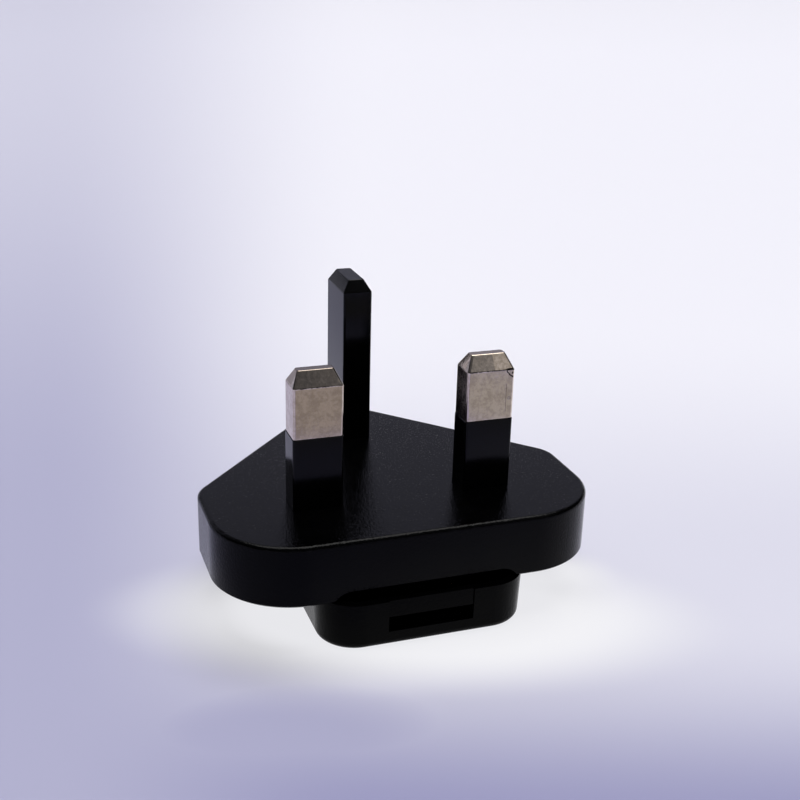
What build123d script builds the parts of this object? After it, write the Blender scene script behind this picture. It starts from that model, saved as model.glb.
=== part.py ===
from build123d import *
from math import radians, sqrt, tan
import os

# Clip-on plug head for a wall adapter, British three-pin pattern. Sizes are in millimetres.
# Z is up and the pins point up. Z = 0 is the flat underside of the boss,
# and X = 0, Y = 0 lie midway between the live and neutral pins. The earth pin is on +Y.

# Pins
pin_pitch = 22.22  # live to neutral, centre to centre
earth_offset = 22.23  # from the live and neutral row to the earth pin
pin_width = 6.25
pin_depth = 3.9
pin_length = 17.7  # above the face
pin_bevel_height = 1.85
pin_bevel_across = 0.85  # lost from each end of the tip's width
pin_bevel_deep = 1.3  # lost from each side of the tip's depth
pin_edge_radius = 0.3
sleeve_length = 9.35  # above the face
sleeve_wall = 0.7
sleeve_proud = 0.06  # the sleeve stands this far outside the metal
earth_width = 3.97
earth_depth = 7.97
earth_length = 22.75
earth_bevel_height = 1.6
earth_bevel_across = 0.95
earth_bevel_deep = 0.88

# Pin roots, inside the head
flange_lip = 1.2  # the flange stands this far outside the pin, all round
flange_thickness = 1.4
tail_width = 3.2
tail_depth = 1.6
tail_below_tab = 0.8

# Face plate
pin_margin = 9.5  # from the pins to the plate's front edge
side_margin = 10.35  # from the pins to the plate's sides
earth_margin = 3.5  # from the earth pin to the plate's back end
taper_start = 7.3  # Y where the sides start to run in towards the earth pin
back_end_width = 8.5
front_corner_radius = 10.2
side_corner_radius = 4.4
back_corner_radius = 3.2
plate_thickness = 7.8
plate_roof = 2.8
plate_wall = 2.2
top_edge_radius = 0.55
bottom_edge_chamfer = 0.2

# Notch in the front skirt, above the boss's lip
notch_width = 23.6  # at the skirt's lower edge
notch_height = 1.25
notch_corner_radius = 2.5

# Boss
boss_width = 26.8
boss_overhang = 1.6  # the lip stands this far in front of the face plate
boss_back = 18.0
boss_height = 6.2
boss_corner_radius = 5.1
boss_draft = 2.25  # degrees
boss_bottom_radius = 1.0
boss_wall = 1.6
boss_floor = 1.75
lip_thickness = 1.15

# Catch window in the lip, with the finger channel above it
window_width = 10.9
window_height = 1.95
window_below_rim = 2.2
channel_depth = 0.25

# Retaining hook at the boss's back end
hook_width = 12.0
hook_reach = 1.5
hook_thickness = 1.8
hook_height = 1.2  # its underside, above the boss's underside
hook_nose_radius = 0.55

# Cover plate and what it holds
cover_thickness = 1.6
rib_thickness = 1.0
rib_height = 3.6  # above the boss's floor
divider_thickness = 1.2
divider_reach = 6.0  # in front of the live and neutral row

# Spring contacts and the slots for the adapter's blades
slot_spacing = 14.8  # centre to centre
slot_width = 2.6
slot_length = 7.5
slot_lead_in = 0.4
contact_sheet = 0.45
contact_width = 5.0
jaw_spread = 2.6  # between the two leaves at the top
jaw_throat = 1.1
jaw_mouth = 2.2
jaw_mouth_height = 0.8  # from the mouth up to the throat
tab_overhang = 0.8  # the tab runs this far past the pin's tail

# Clearances
moulded_gap = 0.03  # between a pin and the moulding that holds it
weld_gap = 0.05  # between the cover plate and the skirt
stack_gap = 0.05  # between the contact's tab and the cover plate
side_gap = 0.1  # beside a contact in its ribs
floor_gap = 0.4  # under a contact's leaves
wall_gap = 0.3  # between the earth pin's flange and the skirt

# Levels
face_z = boss_height + plate_thickness
roof_z = face_z - plate_roof
cover_z = boss_height + cover_thickness
tab_z = cover_z + stack_gap  # underside of the contacts' tabs
flange_z = tab_z + contact_sheet  # underside of the pins' flanges
tower_z = flange_z + flange_thickness  # underside of the towers that the flanges seat on

# Places
front_y = -(pin_depth / 2 + pin_margin)
back_y = earth_offset + earth_depth / 2 + earth_margin
half_width = pin_pitch / 2 + pin_width / 2 + side_margin
boss_front = front_y - boss_overhang
lip_inner_y = boss_front + lip_thickness
pin_x = pin_pitch / 2
slot_x = slot_spacing / 2


def plate_outline(inset=0.0):
    """Outline of the face plate, or the same outline moved inwards."""
    half_end = back_end_width / 2
    corners = [
        ((-half_width, front_y), front_corner_radius),
        ((half_width, front_y), front_corner_radius),
        ((half_width, taper_start), side_corner_radius),
        ((half_end, back_y), back_corner_radius),
        ((-half_end, back_y), back_corner_radius),
        ((-half_width, taper_start), side_corner_radius),
    ]
    outline = make_face(Polyline([place for place, radius in corners], close=True))
    for place, radius in corners:
        corner = outline.vertices().sort_by_distance((place[0], place[1], 0))[0]
        outline = fillet(corner, radius)
    if inset:
        outline = offset(outline, -inset)
    return outline


def slab(outline, low, high):
    """The outline, solid from one level to another."""
    return Pos(0, 0, low) * extrude(outline, high - low)


def rounded_post(width, depth, low, high, radius=pin_edge_radius):
    """An upright post with its four long edges rounded."""
    return slab(RectangleRounded(width, depth, radius), low, high)


def bevelled_tip(width, depth, across, deep, height, top):
    """The bevelled end of a pin: its four sides run in towards a flat top."""
    base = Pos(0, 0, top - height) * RectangleRounded(width, depth, pin_edge_radius)
    end = Pos(0, 0, top) * RectangleRounded(width - 2 * across, depth - 2 * deep, pin_edge_radius)
    return loft([base, end])


def pin_hole(width, depth):
    """The hole in the face plate for one pin, with its moulded clearance."""
    return rounded_post(width + 2 * moulded_gap, depth + 2 * moulded_gap, boss_height, face_z + 1)


def current_pin():
    """Live or neutral pin, with its metal tip, the shank in the sleeve, its flange and its tail."""
    top = face_z + pin_length
    shank_top = face_z + sleeve_length
    shank = rounded_post(pin_width - 2 * sleeve_wall, pin_depth - 2 * sleeve_wall, tower_z, shank_top)
    blade = rounded_post(pin_width, pin_depth, shank_top, top - pin_bevel_height)
    tip = bevelled_tip(pin_width, pin_depth, pin_bevel_across, pin_bevel_deep, pin_bevel_height, top)
    flange = rounded_post(pin_width + 2 * flange_lip, pin_depth + 2 * flange_lip, flange_z, tower_z)
    tail = rounded_post(tail_width, tail_depth, tab_z - tail_below_tab, flange_z)
    return shank + blade + tip + flange + tail


def current_sleeve():
    """Insulating sleeve, moulded round the pin's shank from the flange to halfway up."""
    top = face_z + sleeve_length
    outside = rounded_post(pin_width + 2 * sleeve_proud, pin_depth + 2 * sleeve_proud, tower_z, top)
    inside = rounded_post(pin_width - 2 * sleeve_wall, pin_depth - 2 * sleeve_wall, tower_z, top)
    return outside - inside


def make_earth_pin():
    """Plastic earth pin, which only opens the socket's shutters, with the flange that holds it."""
    top = face_z + earth_length
    shaft = rounded_post(earth_width, earth_depth, tower_z, top - earth_bevel_height)
    tip = bevelled_tip(earth_width, earth_depth, earth_bevel_across, earth_bevel_deep, earth_bevel_height, top)
    flange = rounded_post(earth_width + 2 * flange_lip, earth_depth + 2 * flange_lip, tab_z, tower_z)
    pin = Pos(0, earth_offset, 0) * (shaft + tip + flange)
    room = slab(plate_outline(plate_wall + wall_gap), boss_height, face_z + earth_length + 1)
    return pin & room


def make_face_plate():
    """Front moulding: flat face, skirt, and the towers that the pins' flanges seat on."""
    block = slab(plate_outline(), boss_height, face_z)
    block = fillet(block.faces().sort_by(Axis.Z)[-1].outer_wire().edges(), top_edge_radius)
    block = chamfer(block.faces().sort_by(Axis.Z)[0].outer_wire().edges(), bottom_edge_chamfer)
    hollow = slab(plate_outline(plate_wall), boss_height, roof_z)
    shell = block - hollow
    for side in (-1, 1):
        tower = rounded_post(pin_width + 2 * flange_lip, pin_depth + 2 * flange_lip, tower_z, roof_z)
        shell += Pos(side * pin_x, 0, 0) * tower
    earth_tower = rounded_post(earth_width + 2 * flange_lip, earth_depth + 2 * flange_lip, tower_z, roof_z)
    shell += (Pos(0, earth_offset, 0) * earth_tower) & block
    for side in (-1, 1):
        shell -= Pos(side * pin_x, 0, 0) * pin_hole(pin_width + 2 * sleeve_proud, pin_depth + 2 * sleeve_proud)
    shell -= Pos(0, earth_offset, 0) * pin_hole(earth_width, earth_depth)
    return shell - front_notch()


def front_notch():
    """The notch through the front skirt, with large rounded ends, that clears the boss's lip."""
    radius = notch_corner_radius
    end_run = sqrt(radius**2 - (radius - notch_height) ** 2)
    width = notch_width + 2 * (radius - end_run)
    height = 2 * (radius + notch_height)
    centre_z = boss_height + notch_height - height / 2
    opening = Pos(0, centre_z) * RectangleRounded(width, height, radius)
    cut = extrude(Plane.XZ * opening, plate_wall + 2)
    return Pos(0, front_y + plate_wall + 1, 0) * cut


def boss_solid():
    """Outside of the boss: drafted sides, large upright corners and a rounded lower edge."""
    depth = boss_back - boss_front
    rim = Pos(0, boss_front + depth / 2, boss_height) * RectangleRounded(boss_width, depth, boss_corner_radius)
    boss = extrude(rim, -boss_height, taper=boss_draft)
    return fillet(boss.faces().sort_by(Axis.Z)[0].outer_wire().edges(), boss_bottom_radius)


def boss_hollow():
    """Inside of the boss, open through the cover plate, with a thinner wall at the lip."""
    low_y = lip_inner_y
    high_y = boss_back - boss_wall
    width = boss_width - 2 * boss_wall
    radius = boss_corner_radius - boss_wall
    rim = Pos(0, (low_y + high_y) / 2, boss_height) * RectangleRounded(width, high_y - low_y, radius)
    drafted = extrude(rim, boss_floor - boss_height, taper=boss_draft)
    return drafted + extrude(rim, cover_thickness)


def make_rear_cover():
    """Rear moulding: cover plate inside the skirt, boss, ribs for the contacts, lip, window and hook."""
    plate = slab(plate_outline(plate_wall + weld_gap), boss_height, cover_z)
    hollow = boss_hollow()
    cover = plate + boss_solid() + hook() - hollow
    cover += contact_ribs() & hollow
    cover -= lip_window()
    for side in (-1, 1):
        cover -= Pos(side * slot_x, 0, 0) * blade_slot()
        cover -= Pos(side * pin_x, 0, 0) * tail_recess()
    return cover


def hook():
    """Tongue at the boss's back end that tucks under the adapter's edge."""
    draft_run = boss_height * tan(radians(boss_draft))
    root = boss_wall / 2 + draft_run
    tongue = Box(hook_width, root + hook_reach, hook_thickness, align=(Align.CENTER, Align.MIN, Align.MIN))
    nose = tongue.edges().filter_by(Axis.X).sort_by(Axis.Y)[-2:]
    tongue = fillet(nose, hook_nose_radius)
    return Pos(0, boss_back - root, hook_height) * tongue


def contact_ribs():
    """Divider between live and neutral, clear of the lip, and the ribs on each side of both contacts."""
    length = boss_back + divider_reach
    ribs = Pos(0, (boss_back - divider_reach) / 2, 0) * Box(divider_thickness, length, 2 * cover_z)
    across = contact_width / 2 + side_gap + rib_thickness / 2
    for side in (-1, 1):
        rib = Box(boss_width, rib_thickness, 2 * (boss_floor + rib_height))
        ribs += Pos(0, side * across, 0) * rib
    return ribs


def lip_window():
    """The catch window through the lip, with the shallow channel that runs up from it to the rim."""
    window_z = boss_height - window_below_rim - window_height
    window = Box(window_width, 2 * (lip_thickness + boss_overhang), window_height,
                 align=(Align.CENTER, Align.CENTER, Align.MIN))
    channel = Box(window_width, 2 * channel_depth, boss_height, align=(Align.CENTER, Align.CENTER, Align.MIN))
    return Pos(0, boss_front, window_z) * (window + channel)


def blade_slot():
    """Slot in the boss's underside for one of the adapter's blades, with a lead-in all round."""
    slot = Box(slot_width, slot_length, 2 * boss_floor)
    mouth = Rectangle(slot_width + 2 * slot_lead_in, slot_length + 2 * slot_lead_in)
    lead_in = loft([mouth, Pos(0, 0, slot_lead_in) * Rectangle(slot_width, slot_length)])
    return slot + lead_in


def tail_recess():
    """Recess in the cover plate that clears the peened end of a pin's tail."""
    margin = 2 * side_gap
    low = tab_z - tail_below_tab - stack_gap
    return rounded_post(tail_width + 2 * margin, tail_depth + 2 * margin, low, cover_z)


def contact_profile(side):
    """Section of a contact: the tab over to the pin's tail, and two leaves that grip the blade."""
    mid_z = tab_z + contact_sheet / 2
    throat_z = boss_floor + floor_gap + jaw_mouth_height
    mouth_z = boss_floor + floor_gap
    half_top = (jaw_spread + contact_sheet) / 2
    half_throat = (jaw_throat + contact_sheet) / 2
    half_mouth = (jaw_mouth + contact_sheet) / 2
    tab_end = pin_x + tail_width / 2 + tab_overhang
    outer_leaf = Polyline([
        (slot_x + half_top, mid_z), (slot_x + half_top, boss_height),
        (slot_x + half_throat, throat_z), (slot_x + half_mouth, mouth_z)])
    inner_leaf = Polyline([
        (tab_end, mid_z), (slot_x - half_top, mid_z), (slot_x - half_top, boss_height),
        (slot_x - half_throat, throat_z), (slot_x - half_mouth, mouth_z)])
    section = trace(outer_leaf, contact_sheet) + trace(inner_leaf, contact_sheet)
    if side < 0:
        section = mirror(section, Plane.YZ)
    return section


def make_contact(side):
    """Spring contact, cut and folded from one strip, with a hole for the pin's tail."""
    strip = extrude(Plane.XZ * contact_profile(side), contact_width / 2, both=True)
    hole = rounded_post(tail_width, tail_depth, boss_height, flange_z + 1)
    return strip - Pos(side * pin_x, 0, 0) * hole


parts = {
    "face_plate": make_face_plate(),
    "rear_cover": make_rear_cover(),
    "earth_pin": make_earth_pin(),
    "live_contact": make_contact(-1),
    "neutral_contact": make_contact(1),
}
for name, side in (("live", -1), ("neutral", 1)):
    parts[name + "_pin"] = Pos(side * pin_x, 0, 0) * current_pin()
    parts[name + "_sleeve"] = Pos(side * pin_x, 0, 0) * current_sleeve()

os.makedirs("parts", exist_ok=True)
for name, shape in parts.items():
    export_step(shape, "parts/" + name + ".step")
    print(name, round(shape.volume, 1), "mm3", len(shape.solids()), "solid")
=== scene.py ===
import bpy
import bmesh
import math
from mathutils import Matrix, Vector


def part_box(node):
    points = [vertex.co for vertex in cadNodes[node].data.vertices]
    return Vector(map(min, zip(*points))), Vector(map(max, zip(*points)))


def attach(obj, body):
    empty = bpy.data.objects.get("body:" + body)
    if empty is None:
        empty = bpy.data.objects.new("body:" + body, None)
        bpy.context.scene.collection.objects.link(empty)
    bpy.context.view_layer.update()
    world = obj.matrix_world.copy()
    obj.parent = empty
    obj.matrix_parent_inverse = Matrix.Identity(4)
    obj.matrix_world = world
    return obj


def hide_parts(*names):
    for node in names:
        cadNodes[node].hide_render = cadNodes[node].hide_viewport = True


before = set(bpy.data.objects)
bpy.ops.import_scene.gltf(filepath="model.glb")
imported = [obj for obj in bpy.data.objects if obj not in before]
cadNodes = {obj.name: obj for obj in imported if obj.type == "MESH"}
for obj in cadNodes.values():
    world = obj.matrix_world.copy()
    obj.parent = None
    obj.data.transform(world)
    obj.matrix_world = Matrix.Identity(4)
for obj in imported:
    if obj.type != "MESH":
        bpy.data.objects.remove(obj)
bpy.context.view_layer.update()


print("plug head loaded:", len(cadNodes), "nodes")


# A node socket that sums can be written with
class Wire:
    def __init__(self, finish, socket):
        self.finish = finish
        self.socket = socket

    def sum(self, operation, first, second):
        return self.finish.node("ShaderNodeMath", {"operation": operation}, {0: first, 1: second})

    def __add__(self, other):
        return self.sum("ADD", self, other)

    def __radd__(self, other):
        return self.sum("ADD", other, self)

    def __sub__(self, other):
        return self.sum("SUBTRACT", self, other)

    def __rsub__(self, other):
        return self.sum("SUBTRACT", other, self)

    def __mul__(self, other):
        return self.sum("MULTIPLY", self, other)

    def __rmul__(self, other):
        return self.sum("MULTIPLY", other, self)

    def __truediv__(self, other):
        return self.sum("DIVIDE", self, other)

    def __rtruediv__(self, other):
        return self.sum("DIVIDE", other, self)

    def __pow__(self, other):
        return self.sum("POWER", self, other)


# A material or a world, with its nodes made one at a time
class Finish:
    def __init__(self, owner):
        owner.use_nodes = True
        self.owner = owner
        self.tree = owner.node_tree
        self.tree.nodes.clear()

    def node(self, kind, settings, inputs, output=0):
        made = self.tree.nodes.new(kind)
        for name, value in settings.items():
            setattr(made, name, value)
        for name, value in inputs.items():
            if isinstance(value, Wire):
                self.tree.links.new(value.socket, made.inputs[name])
            else:
                made.inputs[name].default_value = value
        return Wire(self, made.outputs[output]) if made.outputs else made

    def places(self):  # object coordinates, in metres
        return self.node("ShaderNodeTexCoord", {}, {}, "Object")

    def shares(self, vector):
        split = self.node("ShaderNodeSeparateXYZ", {}, {0: vector})
        return [Wire(self, socket) for socket in split.socket.node.outputs]

    def stretch(self, vector, scale):
        return self.node("ShaderNodeVectorMath", {"operation": "MULTIPLY"}, {0: vector, 1: scale})

    def noise(self, vector, size, detail=2.0, rough=0.5):  # size of one blotch in metres
        settings = {"noise_dimensions": "3D"}
        inputs = {"Vector": vector, "Scale": 1 / size, "Detail": detail, "Roughness": rough}
        return self.node("ShaderNodeTexNoise", settings, inputs)

    def fade(self, value, low, high, start=0.0, end=1.0):
        settings = {"interpolation_type": "SMOOTHSTEP"}
        return self.node("ShaderNodeMapRange", settings, {0: value, 1: low, 2: high, 3: start, 4: end})

    def near(self, distance, full, gone, share=1.0):  # the share close by, and nothing far off
        return self.fade(distance, full, gone, share, 0.0)

    def size(self, value):
        return self.node("ShaderNodeMath", {"operation": "ABSOLUTE"}, {0: value})

    def greater(self, first, second):
        return self.node("ShaderNodeMath", {"operation": "MAXIMUM"}, {0: first, 1: second})

    def length(self, first, *others):
        total = first ** 2
        for other in others:
            total = total + other ** 2
        return total ** 0.5

    def tint(self, share, first, second):
        return self.node("ShaderNodeMix", {"data_type": "RGBA"}, {0: share, 6: first, 7: second}, 2)

    def bump(self, height, depth):
        return self.node("ShaderNodeBump", {}, {"Strength": 1.0, "Distance": depth, "Height": height})

    def surface(self, inputs):
        shader = self.node("ShaderNodeBsdfPrincipled", {}, inputs)
        self.node("ShaderNodeOutputMaterial", {}, {0: shader})
        return self.owner


def newFinish(name):
    return Finish(bpy.data.materials.new(name))


def dress(piece, material):
    if piece.material_slots:
        for place in piece.material_slots:
            place.material = material
    else:
        piece.data.materials.append(material)


sparkPlastic = {
    "colour": (0.0004, 0.0004, 0.0005, 1),
    "paler": (0.0010, 0.0010, 0.0012, 1),
    "grain": 0.00026,
    "fineGrain": 0.000117,
    "fineShare": 0.3,
    "grainDepth": 0.000042,
    "cloud": 0.006,
    "cloudEdges": (0.35, 0.7),
    "roughness": 0.075,
    "unevenness": 0.03,
    "gloss": 0.08,
    "shadedCoverGloss": 0.04,  # painted shade: a less glossy copy of the moulding, so that the boss under the plate reads darker, as in shade
}


def sparkErodedPlastic(name, gloss):
    look = sparkPlastic
    finish = newFinish(name)
    place = finish.places()
    grain = finish.noise(place, look["grain"], 1.0)
    grain = grain + finish.noise(place, look["fineGrain"], 0.0) * look["fineShare"]
    cloud = finish.noise(place, look["cloud"], 3.0)
    colour = finish.tint(finish.fade(cloud, *look["cloudEdges"]), look["colour"], look["paler"])
    roughness = look["roughness"] + (cloud - 0.5) * look["unevenness"]
    bump = finish.bump(grain, look["grainDepth"])
    inputs = {"Base Color": colour, "Roughness": roughness, "Normal": bump, "Specular IOR Level": gloss}
    return finish.surface(inputs)


streaks = (1, 1, 0.06)  # draws a noise out along the pins

smoothPlastic = {
    "colour": (0.0005, 0.0005, 0.0006, 1),
    "paler": (0.0011, 0.0011, 0.0013, 1),
    "roughness": 0.13,
    "drag": 0.00035,
    "dragDepth": 0.0000012,
    "dragRoughness": 0.08,
    "cloud": 0.003,
    "cloudRoughness": 0.06,
    "gloss": 0.18,
}


def polishedBlackPlastic():
    look = smoothPlastic
    finish = newFinish("polishedBlackPlastic")
    place = finish.places()
    drag = finish.noise(finish.stretch(place, streaks), look["drag"], 2.0)
    cloud = finish.noise(place, look["cloud"], 3.0)
    colour = finish.tint(cloud, look["colour"], look["paler"])
    roughness = look["roughness"] + (drag - 0.5) * look["dragRoughness"]
    roughness = roughness + (cloud - 0.5) * look["cloudRoughness"]
    inputs = {"Base Color": colour, "Roughness": roughness, "Normal": finish.bump(drag, look["dragDepth"])}
    return finish.surface({**inputs, "Specular IOR Level": look["gloss"]})


nickel = {
    "clean": (0.85, 0.735, 0.62, 1),
    "tarnish": (0.64, 0.54, 0.43, 1),
    "speck": (0.33, 0.265, 0.21, 1),
    "stained": (0.29, 0.26, 0.235, 1),
    "scuffAndShade": (0.02, 0.018, 0.015, 1),
    "tipShade": (0.23, 0.19, 0.16, 1),
    "cloud": 0.0016,
    "mottle": 0.00045,
    "fine": 0.00016,
    "brush": 0.00020,
    "noiseRoughness": 0.6,
    "tarnishEdges": (0.40, 0.60),
    "speckEdges": (0.60, 0.80),
    "speckShare": 0.5,
    "roughness": 0.10,
    "tarnishRoughness": 0.05,
    "brushRoughness": 0.08,
    "brushHeight": 0.4,
    "mottleHeight": 0.6,
    "scuffAndShadeHeight": 2,
    "depth": 0.000007,
    "front": -0.0019,
}

# The stain on the front bevel, a thin line of painted shade along its burred foot, and painted shade that
# darkens the end bevels and flat top
tip = {
    "foot": 0.02985,
    "footFade": 0.00004,
    "frontBevel": (-0.0006, -0.0008),
    "wander": 0.0006,
    "edgeFade": 0.0001,
    "pastEdge": 0.25,
    "share": 0.40,
    "mottleShare": 0.8,
    "footShadeReach": (0.00002, 0.00008),
    "footShadeGaps": (0.40, 0.56),
    "footShadeShare": 0.8,
    "tipShadeFade": 0.0002,
    "behindFront": (-0.0008, -0.0006),
    "flatTop": (0.03155, 0.03165),
    "flatTopFront": (-0.00058, -0.00048),
    "flatTopShadeShare": 0.62,
}


def tarnishedNickel(name, stainEdge, tipShadeShare, marks):
    look = nickel
    finish = newFinish(name)
    place = finish.places()
    x, y, z = finish.shares(place)
    cloud = finish.noise(place, look["cloud"], 4.0, look["noiseRoughness"])
    mottle = finish.noise(place, look["mottle"], 3.0, look["noiseRoughness"])
    fine = finish.noise(place, look["fine"], 2.0, look["noiseRoughness"])
    brush = finish.noise(finish.stretch(place, streaks), look["brush"], 2.0)
    tarnish = finish.fade(cloud * 0.5 + mottle * 0.5, *look["tarnishEdges"])
    colour = finish.tint(tarnish, look["clean"], look["tarnish"])
    speck = finish.fade(fine, *look["speckEdges"], 0.0, look["speckShare"])
    colour = finish.tint(speck, colour, look["speck"])
    colour = finish.tint(stainOnBevel(finish, x, y, z, cloud, mottle, stainEdge), colour, look["stained"])
    # painted shade: darker end bevels and flat top, which dims their highlights
    colour = finish.tint(paintedTipShade(finish, y, z, tipShadeShare), colour, look["tipShade"])
    scuffsAndShade = shadeAtBevelFoot(finish, z, mottle)
    if marks:
        scuffsAndShade = finish.greater(scuffsAndShade, scuffs(finish, x, y, z, mottle))
    # the scuffs are real marks; the line at the bevel's foot is painted shade
    colour = finish.tint(scuffsAndShade, colour, look["scuffAndShade"])
    roughness = look["roughness"] + tarnish * look["tarnishRoughness"]
    roughness = roughness + (brush - 0.5) * look["brushRoughness"]
    height = brush * look["brushHeight"] + mottle * look["mottleHeight"] - scuffsAndShade * look["scuffAndShadeHeight"]
    bump = finish.bump(height, look["depth"])
    return finish.surface({"Base Color": colour, "Roughness": roughness, "Normal": bump, "Metallic": 1.0})


def stainOnBevel(finish, x, y, z, cloud, mottle, stainEdge):
    bevel = finish.fade(z, tip["foot"], tip["foot"] + tip["footFade"]) * finish.fade(y, *tip["frontBevel"])
    wandering = x + (cloud - 0.5) * tip["wander"]
    stained = bevel * finish.fade(wandering, stainEdge, stainEdge + tip["edgeFade"], 1.0, tip["pastEdge"])
    return stained * (tip["share"] + mottle * tip["mottleShare"])


# painted shade: how far the end bevels and the flat top are darkened to dim their highlights
def paintedTipShade(finish, y, z, tipShadeShare):
    endBevels = finish.fade(z, tip["foot"], tip["foot"] + tip["tipShadeFade"])
    endBevels = endBevels * finish.fade(y, *tip["behindFront"])
    flatTop = finish.fade(z, *tip["flatTop"]) * finish.fade(y, *tip["flatTopFront"])
    return finish.greater(endBevels * tipShadeShare, flatTop * tip["flatTopShadeShare"])


# painted shade: a thin, broken dark line along the bevel's burred foot
def shadeAtBevelFoot(finish, z, mottle):
    burrShade = finish.near(finish.size(z - tip["foot"]), *tip["footShadeReach"])
    return burrShade * finish.fade(mottle, *tip["footShadeGaps"]) * tip["footShadeShare"]


scuff = {  # marks on the front of the neutral pin, in metres
    "line": 0.01318,
    "lineFoot": 0.0243,
    "lineTop": 0.0281,
    "lineShare": 0.6,
    "ringX": 0.01362,
    "ringZ": 0.0261,
    "ringRadius": 0.00016,
    "ringShare": 0.9,
    "crackX": 0.01305,
    "crackZ": 0.0297,
    "crackSlope": -0.89,
    "chipX": 0.01395,
    "chipZ": 0.02945,
    "chipRadius": 0.00017,
    "half": 0.0001,
    "wobble": 0.0005,
    "frontFade": 0.00003,
}


def scuffs(finish, x, y, z, mottle):
    look = scuff
    half, foot, top = look["half"], look["lineFoot"], look["lineTop"]
    wobble = (mottle - 0.5) * look["wobble"]
    onFront = finish.fade(y, nickel["front"], nickel["front"] - look["frontFade"])
    line = finish.near(finish.size(x - look["line"]), half * 0.2, half * 0.7, look["lineShare"])
    line = line * finish.fade(z, foot, foot + half) * finish.fade(z, top, top - half)
    fromRing = finish.length(x - look["ringX"], z - look["ringZ"]) - look["ringRadius"]
    ring = finish.near(finish.size(fromRing), half * 0.3, half, look["ringShare"]) * mottle
    pastCrack = finish.fade(x, look["crackX"], look["crackX"] + half * 0.5)
    fromCrack = z - look["crackZ"] - (x - look["crackX"]) * look["crackSlope"] + wobble
    crack = finish.near(finish.size(fromCrack), half * 0.8, half * 1.4) * pastCrack
    fromChip = finish.length(x - look["chipX"] + wobble * 0.5, z - look["chipZ"] + wobble)
    chip = finish.near(fromChip, look["chipRadius"] * 0.6, look["chipRadius"])
    fromFoot = z - tip["foot"] + wobble * 0.5
    nick = finish.near(finish.size(fromFoot), half * 0.8, half * 1.6) * pastCrack
    marks = finish.greater(finish.greater(line, ring), finish.greater(crack, chip))
    return marks * onFront + nick


springMetal = {
    "colour": (0.20, 0.125, 0.065, 1),
    "darker": (0.11, 0.065, 0.035, 1),
    "cloud": 0.0015,
    "roughness": 0.5,
    "unevenness": 0.2,
    "rolled": (1, 0.05, 1),
    "rollMark": 0.0002,
    "rollDepth": 0.000003,
}


def springBronze():
    look = springMetal
    finish = newFinish("springBronze")
    place = finish.places()
    cloud = finish.noise(place, look["cloud"], 3.0)
    colour = finish.tint(cloud, look["colour"], look["darker"])
    roughness = look["roughness"] + cloud * look["unevenness"]
    rolled = finish.noise(finish.stretch(place, look["rolled"]), look["rollMark"])
    bump = finish.bump(rolled, look["rollDepth"])
    return finish.surface({"Base Color": colour, "Roughness": roughness, "Normal": bump, "Metallic": 1.0})


polished = polishedBlackPlastic()
bronze = springBronze()
dress(cadNodes["face_plate"], sparkErodedPlastic("sparkErodedPlastic", sparkPlastic["gloss"]))
# painted shade: the rear cover gets the less glossy copy of the moulding
dress(cadNodes["rear_cover"], sparkErodedPlastic("sparkErodedShadedCover", sparkPlastic["shadedCoverGloss"]))
for side in ("live", "neutral"):
    dress(cadNodes[side + "_contact"], bronze)
print("moulded, polished and sprung finishes set")


def millimetres(*sizes):
    return [size / 1000 for size in sizes]


# One level of a post, drawn as a rounded rectangle
def postLevel(build, centre, height, halfWidth, halfDepth, radius, steps):
    roundest = min(halfWidth, halfDepth) * 0.95
    radius = min(radius, roundest)
    corners = []
    for quarter, (toRight, toBack) in enumerate(((1, 1), (-1, 1), (-1, -1), (1, -1))):
        for step in range(steps + 1):
            turn = math.pi / 2 * (quarter + step / steps)
            x = toRight * (halfWidth - radius) + radius * math.cos(turn)
            y = toBack * (halfDepth - radius) + radius * math.sin(turn)
            corners.append(build.verts.new((centre[0] + x, centre[1] + y, height)))
    return corners


def joinLevels(build, lower, upper):
    for here in range(len(lower)):
        after = (here + 1) % len(lower)
        build.faces.new((lower[here], lower[after], upper[after], upper[here]))


# Rounds the corners of a post's profile: each point is height, half width, half depth
def softProfile(points, reach, steps=4):
    soft = [points[0]]
    for before, here, after in zip(points, points[1:], points[2:]):
        here = Vector(here)
        back, ahead = Vector(before) - here, Vector(after) - here
        furthest = 0.45  # of a side, so that two corners never meet
        start = here + back.normalized() * min(reach, back.length * furthest)
        end = here + ahead.normalized() * min(reach, ahead.length * furthest)
        for step in range(steps + 1):
            share = step / steps
            soft.append(tuple(start.lerp(here, share).lerp(here.lerp(end, share), share)))
    return soft + [points[-1]]


def makePost(name, centre, profile, radius, hollow=False, steps=6):
    build = bmesh.new()
    levels = []
    for height, halfWidth, halfDepth in profile:
        levels.append(postLevel(build, centre, height, halfWidth, halfDepth, radius, steps))
    for lower, upper in zip(levels, levels[1:]):
        joinLevels(build, lower, upper)
    if hollow:
        joinLevels(build, levels[-1], levels[0])
    else:
        build.faces.new(list(reversed(levels[0])))
        build.faces.new(levels[-1])
    bmesh.ops.recalc_face_normals(build, faces=build.faces)
    return postObject(name, build)


def postObject(name, build):
    mesh = bpy.data.meshes.new(name)
    build.to_mesh(mesh)
    build.free()
    for face in mesh.polygons:
        face.use_smooth = True
    piece = bpy.data.objects.new(name, mesh)
    bpy.context.scene.collection.objects.link(piece)
    evenly = piece.modifiers.new("evenNormals", "WEIGHTED_NORMAL")
    evenly.keep_sharp = False
    evenly.weight = 80
    return piece


def standFor(piece, node, material):
    dress(piece, material)
    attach(piece, "root")
    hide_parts(node)


pin = {  # half sizes and heights of one current pin, in millimetres
    "metal": (3.125, 1.95),
    "core": (2.425, 1.25),
    "flange": (4.325, 3.15),
    "tail": (1.6, 0.8),
    "flatTop": (2.275, 0.65),
    "bevelHeight": 1.85,
    "metalLength": 8.35,
    "flangeThickness": 1.4,
    "edgeRadius": 0.3,
    "edgeSoftness": 0.11,
    "cap": (0.8, 0.5),  # shares of the flat top, where the last level lies
}


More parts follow.
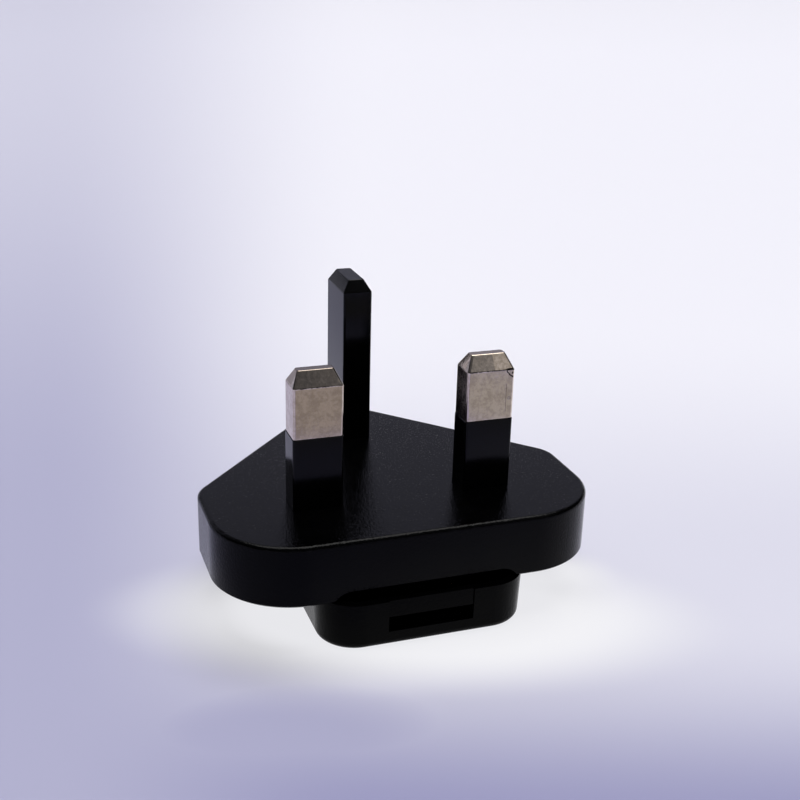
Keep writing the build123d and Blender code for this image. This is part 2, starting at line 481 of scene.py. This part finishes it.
def currentPin(side, stainEdge, tipShadeShare, marks):
    node = side + "_pin"
    low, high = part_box(node)
    centre = ((low.x + high.x) / 2, (low.y + high.y) / 2)
    top = high.z
    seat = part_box(side + "_sleeve")[0].z
    flangeUnder = seat - pin["flangeThickness"] / 1000
    metalFoot = top - pin["metalLength"] / 1000
    shape = {name: millimetres(*pin[name]) for name in ("metal", "core", "flange", "tail", "flatTop")}
    profile = [
        (low.z, *shape["tail"]),
        (flangeUnder, *shape["tail"]),
        (flangeUnder, *shape["flange"]),
        (seat, *shape["flange"]),
        (seat, *shape["core"]),
        (metalFoot, *shape["core"]),
        (metalFoot, *shape["metal"]),
        (top - pin["bevelHeight"] / 1000, *shape["metal"]),
        (top, *shape["flatTop"]),
        (top, *[half * share for half, share in zip(shape["flatTop"], pin["cap"])]),
    ]
    soft = softProfile(profile, pin["edgeSoftness"] / 1000)
    piece = makePost(side + "PinMetal", centre, soft, pin["edgeRadius"] / 1000)
    standFor(piece, node, tarnishedNickel(side + "Nickel", stainEdge, tipShadeShare, marks))


sleeve = {"bore": (2.425, 1.25), "edgeRadius": 0.33, "edgeSoftness": 0.09}


def pinSleeve(side):
    node = side + "_sleeve"
    low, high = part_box(node)
    centre = ((low.x + high.x) / 2, (low.y + high.y) / 2)
    outside = ((high.x - low.x) / 2, (high.y - low.y) / 2)
    bore = millimetres(*sleeve["bore"])
    profile = [(low.z, *bore), (low.z, *outside), (high.z, *outside), (high.z, *bore)]
    soft = softProfile(profile, sleeve["edgeSoftness"] / 1000)
    piece = makePost(side + "SleevePlastic", centre, soft, sleeve["edgeRadius"] / 1000, hollow=True)
    standFor(piece, node, polished)


currentPin("live", 0.0, 0.95, False)
currentPin("neutral", 0.0115, 0.0, True)
for side in ("live", "neutral"):
    pinSleeve(side)
print("pins and sleeves made")


earth = {  # half sizes and heights of the earth pin, in millimetres
    "shaft": (1.985, 3.985),
    "flatTop": (1.035, 3.105),
    "bevelHeight": 1.6,
    "flangeThickness": 1.85,
    "edgeRadius": 0.28,
    "edgeSoftness": 0.12,
    "cap": (0.6, 0.8),
}


def earthPin():
    low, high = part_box("earth_pin")
    shaft, flatTop = millimetres(*earth["shaft"]), millimetres(*earth["flatTop"])
    frontGap = (high.x - low.x) / 2 - shaft[0]
    centre = ((low.x + high.x) / 2, low.y + frontGap + shaft[1])
    profile = [
        (low.z, *shaft),
        (high.z - earth["bevelHeight"] / 1000, *shaft),
        (high.z, *flatTop),
        (high.z, *[half * share for half, share in zip(flatTop, earth["cap"])]),
    ]
    soft = softProfile(profile, earth["edgeSoftness"] / 1000)
    piece = makePost("earthPinPlastic", centre, soft, earth["edgeRadius"] / 1000)
    flangeMiddle = ((low.x + high.x) / 2, (low.y + high.y) / 2)
    half = ((high.x - low.x) / 2, (high.y - low.y) / 2)
    rim = [(low.z, *half), (low.z + earth["flangeThickness"] / 1000, *half)]
    flange = makePost("earthPinFlange", flangeMiddle, rim, earth["edgeRadius"] / 1000)
    dress(flange, polished)
    flange.parent = piece
    standFor(piece, "earth_pin", polished)


earthPin()
print("earth pin made")


sweep = {
    "middleRadius": 0.02,
    "flatRadius": 0.9,
    "rimRadius": 2.6,
    "rimHeight": 0.34,
    "rings": 60,
    "spread": 1.6,  # the rings lie closer together near the object
    "segments": 96,
    "below": 0.00003,
}


def studioSweep():
    mesh = bpy.data.meshes.new("studioSweep")
    build = bmesh.new()
    rings = []
    middle = sweep["middleRadius"]
    for ring in range(sweep["rings"] + 1):
        share = ring / sweep["rings"]
        radius = middle + (sweep["rimRadius"] - middle) * share ** sweep["spread"]
        climb = max(0.0, radius - sweep["flatRadius"]) / (sweep["rimRadius"] - sweep["flatRadius"])
        height = sweep["rimHeight"] * climb ** 2 - sweep["below"]
        turn = [2 * math.pi * step / sweep["segments"] for step in range(sweep["segments"])]
        rings.append([build.verts.new((radius * math.cos(a), radius * math.sin(a), height)) for a in turn])
    build.faces.new(rings[0])
    for inner, outer in zip(rings, rings[1:]):
        for step in range(sweep["segments"]):
            after = (step + 1) % sweep["segments"]
            build.faces.new((inner[step], outer[step], outer[after], inner[after]))
    build.to_mesh(mesh)
    build.free()
    for face in mesh.polygons:
        face.use_smooth = True
    floor = bpy.data.objects.new("studioSweep", mesh)
    bpy.context.scene.collection.objects.link(floor)
    return floor


# Across and away are metres on the floor as the camera sees it, and height is the share
# of the picture's height, from its top, at which a place on the floor shows
floorLook = {
    "across": (0.944, -0.329),
    "away": (0.338, 0.941),
    "cameraAway": 0.1686,
    "closest": 0.09,
    "height": (0.136, 0.07),
    "pale": (0.93, 0.93, 1.0, 1),
    "lavender": (0.32, 0.32, 0.53, 1),
    "middleTint": (0.39, 0.68, 0.0, 0.28),
    "frontTint": (0.77, 1.02, 0.0, 0.67),
    "leftTint": (0.05, 0.65, 0.41, 0.76),
    "leftEdge": (-0.274, -0.015),
    "outOfView": (-0.40, -0.10, 0.55, 1.0),
    "shadePool": (0.29, 0.27, 0.265, 1),
    "rightShadePool": (0.36, 0.355, 0.36, 1),
    "litBase": (0.12, 0.12, 0.12, 1),
    "lit": (0.80, 0.80, 0.83, 1),
    "dark": (0.0, 0.0, 0.0, 1),
    "bossMiddle": 0.0025,
    "bossFlat": (0.0080, 0.0101),
    "bossCorner": 0.0038,
    "bossFade": 0.0003,
    "roughness": 0.9,
}

# Round patches of the floor, squeezed across, full within the first reach and gone past the second: a
# painted shadow band (shade), dark patches of painted shade that the pins, sleeves and skirt reflect (the
# pools), and painted light (the glows)
patches = {
    "shade": {"middle": (-0.012, -0.032), "squeeze": 0.42, "reach": (0.003, 0.020), "share": 0.80},
    "shadePool": {"middle": (0.036, -0.068), "squeeze": 0.632, "reach": (0.015, 0.026), "share": 1.0},
    "rightShadePool": {"middle": (0.063, -0.048), "squeeze": 1.0, "reach": (0.011, 0.020), "share": 1.0},
    "leftShadePool": {"middle": (-0.062, -0.048), "squeeze": 1.0, "reach": (0.008, 0.018), "share": 0.8},
    "glow": {"middle": (0.002, -0.006), "squeeze": 0.46, "reach": (0.009, 0.0195), "share": 1.0},
    "sideGlow": {"middle": (0.0195, 0.0055), "squeeze": 0.7, "reach": (0.002, 0.0085), "share": 0.9},
}


def patch(finish, across, away, name):
    spot = patches[name]
    toSide = (across - spot["middle"][0]) * spot["squeeze"]
    toBack = away - spot["middle"][1]
    return finish.near(finish.length(toSide, toBack), *spot["reach"], spot["share"])


def lavenderShare(finish, across, away):
    look = floorLook
    distance = finish.greater(away + look["cameraAway"], look["closest"])
    aside = across / distance
    height = look["height"][0] / distance - look["height"][1]
    front = finish.fade(height, *look["middleTint"]) + finish.fade(height, *look["frontTint"])
    left = finish.fade(height, *look["leftTint"])
    share = front + (left - front) * finish.near(aside, *look["leftEdge"])
    share = finish.greater(share, patch(finish, across, away, "shade"))
    return share * finish.fade(away, *look["outOfView"])


# Nothing under the boss's foot, where the floor gives no light
def outsideBoss(finish, x, y):
    look = floorLook
    besideBoss = finish.greater(finish.size(x) - look["bossFlat"][0], 0.0)
    beforeBoss = finish.greater(finish.size(y - look["bossMiddle"]) - look["bossFlat"][1], 0.0)
    fromBoss = finish.length(besideBoss, beforeBoss) - look["bossCorner"]
    return finish.fade(fromBoss, -look["bossFade"], 0.0)


def paleFloor():
    look = floorLook
    finish = newFinish("paleFloor")
    x, y = finish.shares(finish.places())[:2]
    across = x * look["across"][0] + y * look["across"][1]
    away = x * look["away"][0] + y * look["away"][1]
    colour = finish.tint(lavenderShare(finish, across, away), look["pale"], look["lavender"])
    # painted shade: dark patches on the floor, mostly out of view, that darken what the pins, sleeves and
    # the skirt reflect
    for name, paint in (("shadePool", "shadePool"), ("rightShadePool", "rightShadePool"), ("leftShadePool", "shadePool")):
        colour = finish.tint(patch(finish, across, away, name), colour, look[paint])
    # painted light: the floor under and around the head gives off light, so that the head casts almost no
    # shadow there, and the floor's own colour is darkened there to keep lit and shaded floor alike
    glow, sideGlow = patch(finish, across, away, "glow"), patch(finish, across, away, "sideGlow")
    glow = (glow + sideGlow - glow * sideGlow) * outsideBoss(finish, x, y)
    colour = finish.tint(glow, colour, look["litBase"])
    light = finish.tint(glow, look["dark"], look["lit"])
    inputs = {"Base Color": colour, "Emission Color": light, "Emission Strength": 1.0}
    return finish.surface({**inputs, "Roughness": look["roughness"], "Specular IOR Level": 0.0})


floor = studioSweep()
dress(floor, paleFloor())
print("floor laid")


# The camera that took the photograph, as fitted to the pins' known sizes
shot = {
    "place": (-0.04711, -0.13044, 0.07898),
    "turn": (69.248, -1.453, -19.233),
    "lens": 54.132,
    "sensor": 36,
    "clip": (0.005, 20),
}


def addCamera():
    lens = bpy.data.cameras.new("photoCamera")
    lens.sensor_fit = "HORIZONTAL"
    lens.sensor_width = shot["sensor"]
    lens.lens = shot["lens"]
    lens.clip_start, lens.clip_end = shot["clip"]
    camera = bpy.data.objects.new("photoCamera", lens)
    camera.location = shot["place"]
    camera.rotation_euler = [math.radians(angle) for angle in shot["turn"]]
    bpy.context.scene.collection.objects.link(camera)
    bpy.context.scene.camera = camera


addCamera()


lamp = {"strength": 2.6, "angle": 50, "from": (0.12, 0.18, 0.975), "colour": (1.0, 0.99, 0.98)}


def addLamp():
    light = bpy.data.lights.new("overhead", "SUN")
    light.energy = lamp["strength"]
    light.angle = math.radians(lamp["angle"])
    light.color = lamp["colour"]
    holder = bpy.data.objects.new("overhead", light)
    holder.rotation_euler = Vector(lamp["from"]).to_track_quat("Z", "Y").to_euler()
    bpy.context.scene.collection.objects.link(holder)


addLamp()


studio = {
    "behind": (0.50, 0.50, 0.64, 1),
    "horizon": (0.13, 0.13, 0.16, 1),
    "before": (0.06, 0.06, 0.066, 1),
    "above": (0.13, 0.13, 0.14, 1),
    "window": (0.50, 0.49, 0.50, 1),
    "aside": (0.012, 0.012, 0.015, 1),
    "horizonRise": (0.10, 0.44),
    "beforeToBehind": (-0.35, 0.45),
    "aboveRise": (0.45, 0.80),
    "windowAt": (0.52, -0.56, 0.64),
    "windowReach": (0.10, 0.34),
    "asideReach": (0.60, 0.78),
}


def studioAir():
    look = studio
    world = bpy.data.worlds.new("studioAir")
    bpy.context.scene.world = world
    finish = Finish(world)
    direction = finish.shares(finish.node("ShaderNodeTexCoord", {}, {}, "Generated"))
    x, y, z = direction
    colour = finish.tint(finish.fade(z, *look["horizonRise"]), look["horizon"], look["behind"])
    colour = finish.tint(finish.fade(y, *look["beforeToBehind"]), look["before"], colour)
    colour = finish.tint(finish.fade(z, *look["aboveRise"]), colour, look["above"])
    toWindow = finish.length(*[part - place for part, place in zip(direction, look["windowAt"])])
    colour = finish.tint(finish.near(toWindow, *look["windowReach"]), colour, look["window"])
    colour = finish.tint(finish.fade(finish.size(x), *look["asideReach"]), colour, look["aside"])
    air = finish.node("ShaderNodeBackground", {}, {"Color": colour, "Strength": 1.0})
    finish.node("ShaderNodeOutputWorld", {}, {0: air})


studioAir()
bpy.context.scene.view_settings.view_transform = "Standard"
print("camera, lamp and air set")
